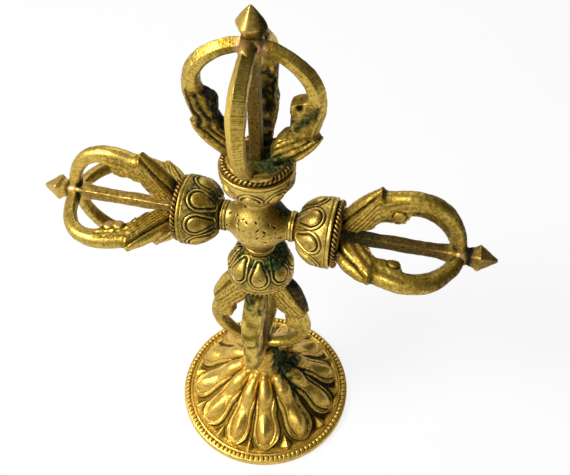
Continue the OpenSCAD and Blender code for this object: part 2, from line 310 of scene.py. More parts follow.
# Noise scales, in grains to a metre
BLOTCHES, MOTTLE, GREEN_MOTTLE, SPECKS, PITS, GRIT = 190, 900, 1500, 1700, 2100, 3200
FILE_STROKES = 3.4


def aged_brass(name, bright, brown, dark, dirt, gloss, filed=False):
    """Brass that is bright where hands rub it, brown in the open and near black in its grooves."""
    material = bpy.data.materials.new(name)
    material.use_nodes = True
    n = Nodes(material.node_tree)
    mottle = n.noise(MOTTLE, 3)
    grit = n.noise(GRIT, 2)

    # Soil: grooves, soil and painted shade from the hollow field, general dirt, wandering patina, specks and pits
    wander = n.math("ADD", n.math("MULTIPLY", n.noise(BLOTCHES, 4), 0.55), n.math("MULTIPLY", mottle, 0.45))
    patina = n.math("MULTIPLY", n.math("SUBTRACT", wander, 0.5), 0.9)
    patina = n.math("ADD", patina, n.ramp(grit, 0.5, 0.74, 0.0, 0.34))
    patina = n.math("ADD", patina, n.ramp(n.noise(SPECKS, 2), 0.3, 0.7, -0.12, 0.12))
    pits = n.ramp(n.noise(PITS, 1), 0.66, 0.76, 0.0, 0.34)
    soil = n.math("ADD", n.math("ADD", n.field("hollow"), dirt), n.math("ADD", patina, pits))
    if filed:
        strokes = {"W": n.field("along"), "Scale": FILE_STROKES, "Detail": 2.0}
        stroke = n.add("ShaderNodeTexNoise", strokes, noise_dimensions="1D").outputs["Fac"]
        marks = n.math("MULTIPLY", n.math("SUBTRACT", stroke, 0.5), n.field("filed"))
        soil = n.math("ADD", soil, n.math("MULTIPLY", marks, 0.8))

    # Colour: soil, then solder, then verdigris over it
    browned = n.ramp(soil, -0.25, 0.45)
    blackened = n.ramp(n.math("SUBTRACT", soil, n.math("MULTIPLY", patina, 0.6)), 0.3, 0.74)
    colour = n.blend(blackened, n.blend(browned, bright, brown), dark)
    soldered = n.ramp(n.math("ADD", n.field("solder"), n.math("MULTIPLY", mottle, 0.4)), 0.55, 0.95)
    colour = n.blend(soldered, colour, SOLDER)
    stained = n.ramp(n.math("ADD", n.field("stain"), n.math("MULTIPLY", mottle, 0.9)), 0.72, 1.2)
    green = n.blend(n.ramp(n.noise(GREEN_MOTTLE, 3), 0.44, 0.7), BLACK_GREEN, VERDIGRIS)
    colour = n.blend(stained, colour, green)

    rough = n.math("ADD", n.ramp(soil, -0.2, 0.8, gloss, 0.62), n.math("MULTIPLY", grit, 0.08))
    rough = n.math("MAXIMUM", rough, n.math("MULTIPLY", stained, 0.85))
    metal = n.math("SUBTRACT", 1.0, n.math("MAXIMUM", n.math("MULTIPLY", blackened, 0.5), stained))
    relief = n.relief(grit, 0.26, 0.00012)
    if filed:
        relief = n.relief(marks, 0.3, 0.0002, relief)
    shader = n.add("ShaderNodeBsdfPrincipled", {
        "Base Color": colour, "Roughness": rough, "Metallic": metal, "Normal": relief,
        "Specular IOR Level": 0.25,
    })
    n.add("ShaderNodeOutputMaterial", {"Surface": shader.outputs[0]})
    return material


cast_brass = aged_brass(
    "cast_brass_aged", srgb(220, 188, 98), srgb(140, 114, 38), srgb(15, 17, 5), dirt=0.1, gloss=0.36)
prong_brass = aged_brass(
    "prong_brass_filed", srgb(224, 192, 94), srgb(143, 116, 37), srgb(16, 16, 5), dirt=0.07, gloss=0.36,
    filed=True)
rope_brass = aged_brass(
    "rope_brass_dark", srgb(206, 170, 92), srgb(120, 92, 32), srgb(14, 14, 4), dirt=0.2, gloss=0.4)
spindle_brass = aged_brass(
    "spindle_brass_dull", srgb(210, 176, 90), srgb(130, 101, 38), srgb(14, 16, 6), dirt=0.16, gloss=0.42)
base_brass = aged_brass(
    "base_brass_yellow", srgb(234, 197, 98), srgb(165, 130, 36), srgb(30, 27, 3), dirt=0.02, gloss=0.41)


# Hub: a ball that flares into four necks, with casting pits and a corner darkened with painted shade

# The flare's height, and where it starts and how it fades, in degrees off an arm
FLARE, FLARE_FROM, FLARE_FADE = 1.25, 25, 8
PIT_COUNT, PIT_DEPTH = 105, 0.28
SHADED_CORNER, SHADED_REACH = (0.75, 0.17, 0.64), 0.75


def hub_pits(way):
    """How deep each ray of the hub lies in a pit, from 0 to 1. The pits are long and lie at random."""
    rng = np.random.default_rng(7)
    pits = np.zeros(way.shape[:2])
    for _ in range(PIT_COUNT):
        spot = rng.normal(size=3)
        spot /= np.linalg.norm(spot)
        across = np.cross(spot, rng.normal(size=3))
        across /= np.linalg.norm(across)
        along = np.cross(spot, across)
        width = rng.uniform(0.07, 0.2)
        length = width * rng.uniform(1.2, 3)
        away = np.hypot((way @ across) * HUB_R / width, (way @ along) * HUB_R / length)
        pits = np.maximum(pits, np.where(way @ spot > 0.5, np.exp(-away**2), 0))
    return pits


def make_hub():
    way = ball(150, 220, pole=0.02)
    radius = np.full(way.shape[:2], HUB_R)
    for axis in ARMS.values():
        off_axis = np.degrees(np.arccos(np.clip(way @ axis, -1, 1)))
        radius += FLARE * np.exp(-np.maximum(off_axis - FLARE_FROM, 0) / FLARE_FADE)
    pits = hub_pits(way)
    grid = HUB + way * (radius - PIT_DEPTH * pits + 0.05 * noise(way * HUB_R, 1.6, 3))[..., None]
    # Painted shade, laid as soil and verdigris, darkens the corner between the top and right necks
    shaded = bump(np.arccos(np.clip(way @ SHADED_CORNER, -1, 1)), SHADED_REACH)
    hollow = hollows(grid) * 1.5 + pits * 0.9 - 0.1 + 0.7 * shaded
    make_piece("hub_ball", grid, "hub", "cast_brass", cast_brass, hollow=hollow, stain=0.6 * shaded, solder=0)


# Lotus bulbs: neck, collar, eight embossed petals, brim and mouth

NECK_R = 2.6
COLLAR_R = 3.4
NECK_S = 5.4
COLLAR_S = 6.8
BULB_S = 8.4
BALL_S = RING_S - 1.7
BALL_FROM = math.radians(25.5)
BRIM_S = BALL_S + 0.9
MOUTH_R = RING_OUT_R - 1.3
BULB_PETALS = 8
# A petal is a drop, with a groove and a line at these distances outside it
DROP_FROM, DROP_L = 1.5, 3.7
DROP_NEAR_R, DROP_FAR_R = 0.4, 1.72
GROOVE_AT, LINE_AT = 0.2, 1.0
BULB_TURN = {"top": 3, "low": 34, "left": 20, "right": 22.5}
BULB_SOIL = {"top": -0.06, "low": 0.14, "left": 0.2, "right": -0.02}
BULB_STAIN = {"top": 0.3, "low": 0.5, "left": 0.5, "right": 0.2}
COLLAR_STAIN = {"low": 0.45, "left": 0.45}


def drop_distance(x, y, length, near_r, far_r):
    """Distance outside a drop: a small circle at x = 0 and a larger one at x = length, with straight sides."""
    y = np.abs(y)
    slope = (near_r - far_r) / length
    rise = math.sqrt(1 - slope * slope)
    t = x * rise - y * slope
    near = np.hypot(x, y) - near_r
    far = np.hypot(x - length, y) - far_r
    side = y * rise + x * slope - near_r
    return np.where(t < 0, near, np.where(t > length * rise, far, side))


def bulb_profile():
    """Rows of s and r, from the neck's end to the middle of the mouth."""
    angles = np.linspace(BALL_FROM, math.pi / 2, 76)
    return np.vstack([
        path([(NECK_S, 0.02), (NECK_S, NECK_R), (COLLAR_S - 0.25, NECK_R - 0.1),
              (COLLAR_S, NECK_R + 0.2)], 0.3),
        path([(COLLAR_S + 0.05, COLLAR_R - 0.15), (COLLAR_S + 0.2, COLLAR_R), (BULB_S - 0.55, COLLAR_R)], 0.2),
        path([(BULB_S - 0.5, COLLAR_R - 0.3), (BULB_S - 0.2, COLLAR_R - 0.35)], 0.2),
        [(BALL_S - BULB_R * math.cos(a), BULB_R * math.sin(a)) for a in angles],
        path([(BALL_S + 0.1, BULB_R), (BRIM_S - 0.1, BULB_R), (BRIM_S, BULB_R - 0.15),
              (BRIM_S + 0.1, MOUTH_R)], 0.2),
        path([(MOUTH_S - 0.1, MOUTH_R), (MOUTH_S, MOUTH_R - 0.2), (MOUTH_S, 0.02)], 0.8),
    ])


def make_bulb(head):
    profile = bulb_profile()
    s, r = profile[:, :1], profile[:, 1:]
    turn = turns(256)
    grid = round_arm(head, s, r, turn)
    on_ball = smooth(BULB_S, BULB_S + 0.6, s) * (1 - smooth(BALL_S - 0.25, BALL_S + 0.05, s))

    # Petals: a drop-shaped boss in a groove, with a border and an engraved line round it
    pitch = FULL_TURN / BULB_PETALS
    offset = (turn - math.radians(BULB_TURN[head]) + pitch / 2) % pitch - pitch / 2
    walk = np.clip(np.arccos(np.clip((BALL_S - s) / BULB_R, -1, 1)) - BALL_FROM, 0, 2) * BULB_R
    edge = drop_distance(walk - DROP_FROM, offset * r, DROP_L, DROP_NEAR_R, DROP_FAR_R)
    boss = np.where(edge < 0, 0.42 * rounded(np.maximum(-edge, 0) / 1.6) + 0.05, 0)
    groove = -0.3 * bump(edge - GROOVE_AT, 0.19)
    border = 0.12 * smooth(0.2, 0.45, edge) * (1 - smooth(0.75, 0.95, edge))
    line = -0.22 * bump(edge - LINE_AT, 0.14)
    relief = (boss + groove + border + line) * on_ball

    # Grooves at the brim and round the collar, and the casting's skin
    relief = relief - 0.2 * bump(s - BALL_S - 0.15, 0.12) - 0.12 * bump(s - COLLAR_S - 0.75, 0.12)
    relief = relief + 0.04 * noise(grid, 0.9, 5) * smooth(COLLAR_S, BULB_S, s)
    relief = np.minimum(relief, np.maximum(BULB_R + 0.1 - r, 0.35 * on_ball))
    grid = grid + normals(grid) * relief[..., None]

    hollow = hollows(grid) * 1.6 + 0.35 * bump(s - BRIM_S - 0.3, 0.5) - 0.04
    # The mouth, inside the cage of prongs, darkens with patina and painted shade
    hollow = hollow + 0.5 * smooth(MOUTH_S - 0.3, MOUTH_S, s)
    hollow = hollow + 0.3 * bump(s - COLLAR_S + 0.2, 0.4) + 0.12 * bump(s - COLLAR_S - 0.7, 0.7)
    hollow = hollow + on_ball * (0.3 * bump(edge - GROOVE_AT, 0.16) + 0.25 * bump(edge - LINE_AT, 0.13))
    hollow = hollow + BULB_SOIL[head] + 0.25 * noise(grid, 2.4, 6) * on_ball

    # Verdigris: in the lines, beside the collar, in the mouth and on the shaded side
    in_lines = bump(edge - GROOVE_AT, 0.22) + bump(edge - LINE_AT, 0.18) + 0.5 * (edge > LINE_AT + 0.05)
    stain = BULB_STAIN[head] * on_ball * in_lines + COLLAR_STAIN.get(head, 0) * bump(s - BULB_S - 1, 1.3)
    mouth = smooth(MOUTH_S - 0.15, MOUTH_S, s)
    x, above = grid[..., 0], grid[..., 2] - HUB[2]
    if head == "top":
        stain = stain + 0.4 * smooth(3, 8, x) * on_ball + 0.45 * mouth * (1 + 0.5 * smooth(-3, 4, x))
    elif head == "low":
        stain = stain + 0.6 * smooth(0.5, 4.5, x) * bump(s - BULB_S - 1.2, 3) + 0.4 * mouth
    elif head == "left":
        stain = stain + 0.28 * smooth(2, 7, above) * on_ball + 0.3 * mouth
    make_piece("bulb_" + head, grid, "lotus_bulb_" + head, "cast_brass", cast_brass,
               hollow=hollow, stain=stain, solder=0)


# Rope rings: two strands of wire twisted together

ROPE_LAYS = 46
ROPE_R = 0.62
RING_R = RING_OUT_R - 0.7


def make_ring(head):
    turn = turns(ROPE_LAYS * 10).T
    round_wire = turns(14)
    lobes = np.cos(2 * round_wire - ROPE_LAYS * turn)
    wire = ROPE_R * (0.88 + 0.2 * lobes)
    grid = round_arm(head, RING_S + wire * np.sin(round_wire), RING_R + wire * np.cos(round_wire), turn)
    make_piece("ring_" + head, grid, "rope_ring_" + head, "rope_brass", rope_brass, loop_rows=True,
               hollow=0.1 - 0.4 * lobes, stain=0, solder=0)


# Prongs. Each row gives the ridge from the mouth, its radius, the inner edge from the mouth, its radius, and
# the half width.

ROOT_ROWS = [
    (-0.6, 6.7, -0.6, 3.3, 1.9), (0.4, 7.6, 0.6, 3.1, 2.1), (1.6, 9.2, 2.1, 2.9, 2.2),
    (3.3, 10.9, 3.9, 3.1, 2.3), (5.1, 12.3, 5.5, 3.9, 2.25), (6.4, 13.25, 6.5, 4.9, 2.2),
    (6.95, 13.5, 7.2, 6.2, 2.15), (7.75, 12.6, 8.1, 6.75, 2.1), (9.1, 12.75, 9.5, 6.9, 2.0),
    (10.9, 13.25, 11.2, 7.1, 1.95), (12.7, 13.6, 12.85, 7.4, 1.9), (14.3, 13.65, 13.6, 9.4, 1.8),
    (15.9, 13.45, 14.9, 10.05, 1.7),
]
PLAIN_ROOT_ROWS = [
    (-0.4, 7.0, -0.4, 3.7, 1.3), (0.3, 7.6, 0.5, 4.3, 1.2), (1.5, 8.9, 1.9, 5.9, 1.16),
    (3.3, 10.6, 4.1, 8.1, 1.2), (5.7, 12.1, 6.5, 9.5, 1.28), (8.5, 13.1, 9.0, 10.3, 1.36),
    (11.5, 13.6, 11.7, 10.7, 1.44), (14.3, 13.65, 14.1, 10.7, 1.5),
]
BAR_ROWS = [
    (17.7, 12.95, 16.5, 9.95, 1.65), (19.3, 12.2, 17.8, 9.4, 1.62), (20.9, 11.0, 19.1, 8.5, 1.58),
    (22.3, 9.4, 20.3, 7.2, 1.5), (23.6, 7.4, 21.4, 5.6, 1.42), (24.6, 5.3, 22.1, 4.0, 1.35),
    (25.2, 3.4, 22.5, 2.6, 1.3), (25.5, 1.6, 22.7, 1.2, 1.28), (25.6, 0.3, 22.7, 0.2, 1.25),
]
ROW_COUNT, SECTION_COUNT = 200, 42
BEAK_AT = 6.95
HORN_RUN = [0, 0.3, 0.6, 0.85, 1]
HORN_HALF_W = [1.2, 1.5, 1.5, 1.05, 0.4]
HORN_DEPTH = [2.5, 2.4, 1.9, 1.1, 0.5]
BAR_HALF_W = 1.68
WIDEST_R = 13.7
CURL_R = 1.15
NO_CURL = 9

# Each prong's own wear, by prong or by head
MENDED, WORN_FLAT, HOLED, KNOBBED = "top_front", "low_front", "top_right", "left_front"
DEFAULT_CURLS = [(11.1, 8.6)]
CURLS = {
    HOLED: [(14.2, 9.0)], KNOBBED: [(10.0, 8.4), (11.9, 8.9)], "right_front": [(11.6, 8.3)],
    "top_left": [], "left_up": [], "low_left": [], "low_right": [], WORN_FLAT: [],
}
LOBE_SHIFT = {HOLED: 1.4}
SUNKEN_ARCH = {"top_back": 1.1}
BEAK_WEAR = 0.1
WORN_BEAK = {
    "top_left": 0.8, "top_right": 0.3, "right_front": 0.7, "left_front": 0.4, "low_left": 1.0, "low_right": 0.8,
}
STRAND_W = {"top": 2.1, "left": 1.25, "right": 1.25, "low": 1.25, "right_front": 2.7}
STRAND_CUT = {"top": 0.36, "left": 0.24, "right": 0.24, "low": 0.2, "right_front": 0.26}
FINE_LUMPS = {"top": 0.06, "left": 0.16, "right": 0.06, "low": 0.16}
LUMPS = {"top": 0.3, "left": 0.12, "right": 0.12, "low": 0.12, "top_back": 0.15, "right_front": 0.04}
CASTING_GRAIN = {"top": 0.1, "left": 0.05, "right": 0.14, "low": 0.1, MENDED: 0}
FILE_MARKS = {"top": 0.8, "left": 0.4, "right": 0.2, "low": 0.4, MENDED: 1.2}
MANE_SOIL = {"top": 0.2, "left": 0.12, "right": 0.07, "low": 0.08, "top_left": 0.5, "top_back": 0.5}
MANE_MOTTLE = {"top": 0.22, "top_back": 0.08}
MANE_STAIN = {"top": 0.5, "top_back": 0.25}
# Darkening of each head's bars off the mane; the right head's darkening is painted shade, and the left head's
# bars are a little lighter
BAR_SOIL_AND_SHADE = {"top": 0.0, "left": -0.02, "right": 0.16, "low": 0.04}
# Painted shade on bar faces that turn to the right, by head
PAINTED_SHADE_ON_BARS = {"right": 0.35}
GULLY_SOIL = {"top": 0.6, "left": 0.5, "right": 0.3, "low": 0.3}
# Darker horns on two prongs
HORN_DARKENING = {"low_right": 0.6, "left_up": 0.25}
CURL_SOIL = {"right_front": 0.35}
TIP_SOIL = {"top": 0.35, "top_back": 0.7}
TIP_SOLDER = {"top": 0.6, "left": 0.4, "right": 0.4, "low": 0.4, "top_back": 0.4}
TIP_STAIN = {"left_up": 0.8, "left_front": 0.8, "right_up": 0.8, "right_front": 0.8}


def mirrored(half):
    """The columns of half a section, followed by those of the other half on the way back."""
    return np.concatenate([half, half[:, -2:0:-1]], 1)


class Prong:
    """One prong in its own frame: s from the bulb's mouth, r from the arm's axis, and z across."""

    def __init__(self, head, side):
        self.head, self.side = head, side
        self.key = head + "_" + side
        self.mended = self.key == MENDED
        self.flat = self.key == WORN_FLAT
        self.seed = sum(ord(c) for c in self.key)
        self.rows = self.stations()
        self.draw_section()
        self.s, self.r = self.local[..., 0], self.local[..., 1]
        self.mane = self.soil = self.knobs = np.zeros_like(self.s)

    def own(self, table):
        """The prong's own value in a table, or else its head's, or else 0."""
        return table.get(self.key, table.get(self.head, 0))

    def grain(self, size, seed):
        """Noise on the prong as it now is, which differs from prong to prong."""
        return noise(self.local + self.seed, size, seed)

    def stations(self):
        """The rows on a smooth curve, with the prong's own beak, mane and arch."""
        rows = np.array((PLAIN_ROOT_ROWS if self.mended else ROOT_ROWS) + BAR_ROWS)
        if not self.mended:
            rows[:, 1] -= 0.75 * WORN_BEAK.get(self.key, BEAK_WEAR) * bump(rows[:, 0] - BEAK_AT, 0.9)
            on_lobe = smooth(8, 12, rows[:, 2]) * (1 - smooth(13.5, 16.5, rows[:, 2]))
            rows[:, 2] += self.own(LOBE_SHIFT) * on_lobe
        rows[:, 0] -= self.own(SUNKEN_ARCH) * smooth(9, 4, rows[:, 1]) * (rows[:, 0] > 17)
        return spline(rows, ROW_COUNT)

    def draw_section(self):
        """Half widths from the ridge inwards: a leaf-shaped horn up to the beak, on a mane that ends in a bar."""
        self.ridge, ridge_r, inner_s, inner_r, half_w = (self.rows[:, k:k + 1] for k in range(5))
        depth = np.hypot(inner_s - self.ridge, inner_r - ridge_r)
        share = (0.5 - 0.5 * np.cos(np.linspace(0, math.pi, SECTION_COUNT)))[None, :]
        inward = share * depth
        run = np.clip(self.ridge / BEAK_AT, 0, 1)
        leaf_w = np.interp(run, HORN_RUN, HORN_HALF_W)
        leaf_d = np.interp(run, HORN_RUN, HORN_DEPTH)
        has_horn = not (self.mended or self.flat)
        horned = has_horn * (1 - smooth(BEAK_AT + 0.05, BEAK_AT + 0.55, self.ridge))
        horn = leaf_w * rounded(inward / (1.1 * leaf_w)) * (1 - 0.3 * smooth(0.55 * leaf_d, leaf_d, inward))
        horn = horn * (1 - smooth(leaf_d - 0.05, leaf_d + 0.12, inward)) * horned
        bar_w = np.minimum(half_w, BAR_HALF_W)
        at_root = (not self.mended) * (1 - smooth(4, 9.5, self.ridge))
        body = bar_w + (half_w - bar_w) * np.maximum(at_root, smooth(1.8, 3.4, inward))
        body = body * self.ridge_edge(np.maximum(inward - (leaf_d - 0.3) * horned, 0))
        width = np.maximum(horn, body) * rounded((depth - inward) / 0.8)
        width[:, 0] = width[:, -1] = 0

        s = self.ridge + (inner_s - self.ridge) * share
        r = ridge_r + (inner_r - ridge_r) * share
        self.local = mirrored(np.stack([s, r, width], -1))
        self.local[:, SECTION_COUNT:, 2] *= -1
        self.inward = mirrored(inward)
        self.share = mirrored(np.broadcast_to(share, s.shape))
        self.leaf_d, self.horned = leaf_d, horned
        self.has_mane = smooth(3.5, 4.4, depth)
        if self.mended:
            self.lean = 0.45 * smooth(2, 20, self.local[..., 0])
            self.local[..., 2] -= self.lean * np.clip(1 - self.inward / 0.8, 0, 1)

    def ridge_edge(self, below):
        """How the bar widens below its ridge: filed to an edge, flat, or round."""
        if self.mended:
            return np.clip(below / 0.8, 0, 1)
        if self.flat:
            return np.clip(0.6 + 0.4 * below / 0.9, 0, 1) * rounded(below / 0.12)
        if self.head == "top":
            return np.clip(below / 1.15, 0, 1) ** 0.85
        return rounded(below / 1.45)

    def skin(self):
        """The uneven surface of the casting."""
        relief = 0.04 * self.grain(0.8, self.seed) + 0.07 * self.grain(2.6, self.seed + 1)
        if self.flat:
            relief = relief + 0.1 * noise(self.local, 1.3, 14)
        return relief + 0.2 * self.own(CASTING_GRAIN) * self.grain(0.5, 17)

    def mane_relief(self):
        """Strands and lumps of the mane, its curls and its ragged inner edge. Sets the mane and its soil."""
        s, inward, leaf_d = self.s, self.inward, self.leaf_d
        facing = smooth(0.25, 0.65, np.abs(normals(self.local)[..., 2]))
        mane = self.has_mane * smooth(leaf_d + 0.2, leaf_d + 0.8, inward) * smooth(0, 1, s)
        mane = mane * (1 - smooth(9, 11.5, s) * (self.head == "low"))
        cheek = mane * smooth(6, 7.5, s)
        waves = (inward - leaf_d + 0.2 * s) / self.own(STRAND_W) + 0.3 * self.grain(3.2, self.seed + 2)
        strands = 0.5 - 0.5 * np.cos(FULL_TURN * waves)
        lumps = self.own(FINE_LUMPS) * self.grain(0.6, 9)
        lumps = lumps + self.own(LUMPS) * self.grain(1.5, 10) * (0.4 + 0.6 * cheek)

        curl = np.full_like(s, NO_CURL)
        for curl_s, curl_r in CURLS.get(self.key, DEFAULT_CURLS):
            curl = np.minimum(curl, np.hypot((s - curl_s) * 0.9, self.r - curl_r))
        near_curl = facing * (curl < 2)
        off_curl = smooth(1.0, 1.4, curl)
        if self.key == HOLED:
            disc, ring, hole = 0, 0, bump(curl, 0.55)
        else:
            disc, ring, hole = 0.3 * rounded(CURL_R - curl), bump(curl - CURL_R - 0.1, 0.22), 0
        if self.key == KNOBBED:
            self.knobs = (1 - smooth(0.6, 1.1, curl)) * facing

        relief = near_curl * (disc - 0.2 * ring - 0.6 * hole)
        cuts = self.own(STRAND_CUT) * strands * (1 - 0.5 * cheek)
        relief = relief - facing * mane * off_curl * (cuts + lumps)
        ragged = smooth(0.75, 0.97, self.share) * self.has_mane * smooth(1, 2.5, s) * off_curl
        relief = relief - 0.3 * ragged * (0.5 + noise(self.local + 3 * self.seed, 1.3, 11))

        behind_beak = bump(self.ridge - BEAK_AT - 0.8, 0.4) * (1 - smooth(0.8, 1.8, inward))
        gully = bump(inward - leaf_d - 0.05, 0.28) * self.horned
        on_horn = self.horned * (1 - smooth(leaf_d - 0.6, leaf_d, inward))
        soil = self.own(MANE_SOIL) * mane * (0.7 + 0.4 * strands) + 0.3 * behind_beak
        soil = soil + self.own(GULLY_SOIL) * gully + self.own(HORN_DARKENING) * on_horn
        soil = soil + near_curl * (0.25 * ring + 1.2 * hole) + self.own(CURL_SOIL) * rounded(1.3 - curl)
        self.mane, self.soil = mane, soil
        return relief

    def mend_relief(self):
        """Two holes at the root of the mended prong. Sets their soil, and painted light and shade: a bright left
        face and a dull right face.
        """
        z = self.local[..., 2]
        relief = 0
        # Painted light and shade: the left face is brightened and the right face stays dull
        soil = 0.5 * smooth(-0.1, 0.2, z + self.lean) - 0.46
        for hole_z in (-0.75, 0.7):
            hole = np.hypot(self.s - 0.75, z - hole_z) * (1 + 4 * (self.share > 0.5))
            relief = relief - 0.5 * bump(hole, 0.4)
            soil = soil + 1.2 * bump(hole, 0.45)
        self.soil = soil
        return relief

    def bend(self):
        """Bent by hand: each prong stands out as far as its CAD solid, and the lower roots are longer."""
        node = "prong_" + self.key
        bent = reach_out(node, self.side) - WIDEST_R
        drop = on_arm(node, self.head)[1] - END_S
        self.local[..., 1] += bent * smooth(0, 7, self.s) * smooth(1, 9, self.r)
        self.local[..., 0] += MOUTH_S + drop * smooth(-0.6, 7, self.s)
        axis, out = ARMS[self.head], SIDES[self.side]
        s, r, z = (self.local[..., k:k + 1] for k in range(3))
        self.grid = HUB + axis * s + out * r + np.cross(axis, out) * z

    def hollow(self):
        """Grooves and soil, with painted shade at the roots, on the inner edges and on the right head's bars, and
        the mended prong's painted light and shade.
        """
        s, r, mane = self.s, self.r, self.mane
        hollow = hollows(self.local, reach=1) * 1.1 + self.soil - 0.05
        # Patina and painted shade on the inner edge and at the root by the mouth
        hollow = hollow + 0.2 * smooth(0.85, 1.0, self.share) + 0.45 * (1 - smooth(0, 1.6, s))
        # Bar darkening, painted shade on the right head, and the casting's grain
        hollow = hollow + self.own(BAR_SOIL_AND_SHADE) * (1 - mane) + self.own(CASTING_GRAIN) * self.grain(0.5, 17)
        hollow = hollow + self.own(TIP_SOIL) * smooth(7, 4, r) * smooth(20, 22, s)
        hollow = hollow + self.own(MANE_MOTTLE) * mane * self.grain(1.1, 16)
        # Painted shade on the bars' faces that turn to the right
        right_side = smooth(0.3, 0.9, normals(self.grid)[..., 0])
        hollow = hollow + self.own(PAINTED_SHADE_ON_BARS) * (1 - mane) * right_side
        if self.flat:
            hollow = hollow + 0.5 * noise(self.local, 1.6, 13) - 0.35 * smooth(17, 19, s)
        return hollow

    def stain(self):
        """Verdigris: on the top head's roots and manes, on the flat prong, and inside the side heads' tips."""
        s, mane = self.s, self.mane
        if self.head == "top":
            stain = (0.75 * (1 - smooth(0.3, 4.5, s)) + 0.25 * mane) * smooth(0, 3, self.grid[..., 0])
            return stain + mane * self.own(MANE_STAIN) * smooth(0.2, 0.7, self.grain(1.6, 15))
        if self.flat:
            patches = 0.55 * smooth(0.1, 0.6, noise(self.local, 1.8, 12)) * (1 - smooth(15, 17, s))
            return patches + 0.4 * (1 - smooth(0.5, 1.3, s))
        inside_tip = smooth(0.45, 0.8, self.share) * smooth(20.5, 22, s) * bump(self.r - 2.6, 1.6)
        return self.own(TIP_STAIN) * inside_tip

    def solder(self):
        """Solder at the tip, a longer run of it on the mended prong, and bright knobs."""
        solder = self.own(TIP_SOLDER) * smooth(4.2, 2.2, self.r) * smooth(21, 22.5, self.s)
        if self.mended:
            solder = solder + 0.25 * smooth(6, 4, self.r) * smooth(20, 22, self.s)
        return solder + 0.55 * self.knobs

    def make(self):
        """The finished piece."""
        relief = self.skin() + (self.mend_relief() if self.mended else self.mane_relief())
        self.local = self.local + normals(self.local) * relief[..., None]
        self.bend()
        steps = np.linalg.norm(np.diff(self.rows[:, :2], axis=0), axis=1)
        along = np.concatenate([[0], np.cumsum(steps)])[:, None]
        filed = self.own(FILE_MARKS) * (1 - self.mane) * (1 - self.horned)
        make_piece("prong_" + self.key + "_cast", self.grid, "prong_" + self.key, "prong_brass", prong_brass,
                   hollow=self.hollow(), stain=self.stain(), solder=self.solder(), along=along, filed=filed)


# Spindles: a filed square bar, thick where the prongs are brazed on, with a pyramid at its end

BAR_R = 1.2
JOINT_R = 2.05
# How square the section is: 2 is round, and higher powers are squarer
BAR_POWER, JOINT_POWER = 8, 3.4
FINIAL_POWER = {"top": 5.4, "left": 8, "right": 8, "low": 8}
FINIAL_TURN = {"top": math.radians(34)}
NECK_SOIL = {"top": 0.4, "left": 0.6, "right": 0.6, "low": 0.6}
SPINDLE_SOIL = {"top": 0.0, "right": 0.07, "left": -0.26, "low": 0.1}
FINIAL_SOIL = {"top": 0.02, "right": 0.1, "left": -0.3, "low": 0.0}
SPINDLE_STAIN = {"top": 0.5, "right": 0.5, "left": 0.15, "low": 0.35}
STAIN_FADE = {"top": (18, 28), "right": (22, 36), "left": (18, 28), "low": (18, 28)}


def spindle_profile(head, end, tip):
    """Rows of s and half width: the bar, the joint with the prongs, and the finial or the foot."""
    bar = [
        (MOUTH_S - 1, BAR_R), (end - 6, BAR_R), (end - 4, 1.4), (end - 2.6, 1.75), (end - 1.4, JOINT_R),
        (end - 0.3, 1.9),
    ]
    if head == "low":
        return path(bar + [(end, 1.8), (tip, 1.6)], 0.22)
    if head == "top":
        wide = end + 2.1
        finial = [
            (end + 0.4, 1.75), (wide - 0.9, 1.9), (wide - 0.4, 2.24), (wide, 2.38), (wide + 0.4, 2.3),
            ((wide + tip) / 2, 1.5), (tip - 0.4, 0.5), (tip - 0.1, 0.26), (tip, 0.05),
        ]
    else:
        wide = end + 2.6
        finial = [
            (end + 0.4, 1.5), (wide - 0.9, 1.65), (wide, 2.2), (wide + 0.25, 2.15), (tip - 0.35, 0.42),
            (tip - 0.1, 0.24), (tip, 0.05),
        ]
    return path(bar + finial, 0.22)


def make_spindle(head):
    end = LOW_END_S if head == "low" else END_S
    tip = end + 0.6 if head == "low" else TIP_S[head]
    profile = spindle_profile(head, end, tip)
    s, size = profile[:, :1], profile[:, 1:]
    turn = turns(56)
    power = BAR_POWER + (JOINT_POWER - BAR_POWER) * smooth(end - 4, end - 2, s)
    power = power + (FINIAL_POWER[head] - JOINT_POWER) * smooth(end + 0.4, end + 1.6, s)
    square = (np.abs(np.cos(turn)) ** power + np.abs(np.sin(turn)) ** power) ** (-1 / power)
    turn = turn + FINIAL_TURN.get(head, 0) * smooth(end, end + 1.2, s)
    grid = round_arm(head, s, size * square, turn)
    wobble = (0.06 * noise(grid, 1.0, 21) + 0.1 * noise(grid, 2.6, 22)) * smooth(tip, tip - 1.5, s)
    grid = grid + normals(grid) * wobble[..., None]

    on_finial = smooth(end + 0.6, end + 1.6, s)
    hollow = hollows(grid, reach=1) + 0.3 * (1 - smooth(end - 5, end - 2, s))
    hollow = hollow + NECK_SOIL[head] * bump(s - end - 0.6, 0.6)
    hollow = hollow + SPINDLE_SOIL[head] * (1 - on_finial) + FINIAL_SOIL[head] * on_finial
    stain = SPINDLE_STAIN[head] * (1 - smooth(*STAIN_FADE[head], s))
    if head == "low":
        stain = stain + 0.7 * smooth(end - 4, end - 1.5, s) * smooth(0.2, 1.4, grid[..., 0])
    if head == "top":
        # Painted light and shade on the top finial: brighter on its left side, darker on its right, with darker
        # verdigris at the neck on the right
        shaded = smooth(-0.2, 1.8, grid[..., 0] + 0.3 * grid[..., 1])
        stain = stain + 0.7 * bump(s - end - 0.5, 1.1) * shaded
        hollow = hollow + on_finial * (0.85 * shaded - 0.35)
    make_piece("spindle_" + head + "_bar", grid, "spindle_" + head, "spindle_brass", spindle_brass,
               hollow=hollow, stain=stain, solder=0.8 * bump(s - end + 1.2, 1.1))


# Solder: a lug beside the root of the mended prong, and a fillet where that prong meets the spindle

FILLET_HALF = (1.6, 2.8, 1.45)
FILLET_AT = HUB + Z * (END_S - 1.2) - Y * 2.0 - X * 0.25
FILLET_SLOPE = math.radians(12)
LUG_HALF = (2.3, 0.95, 0.8)
LUG_WAY = math.radians(-69)


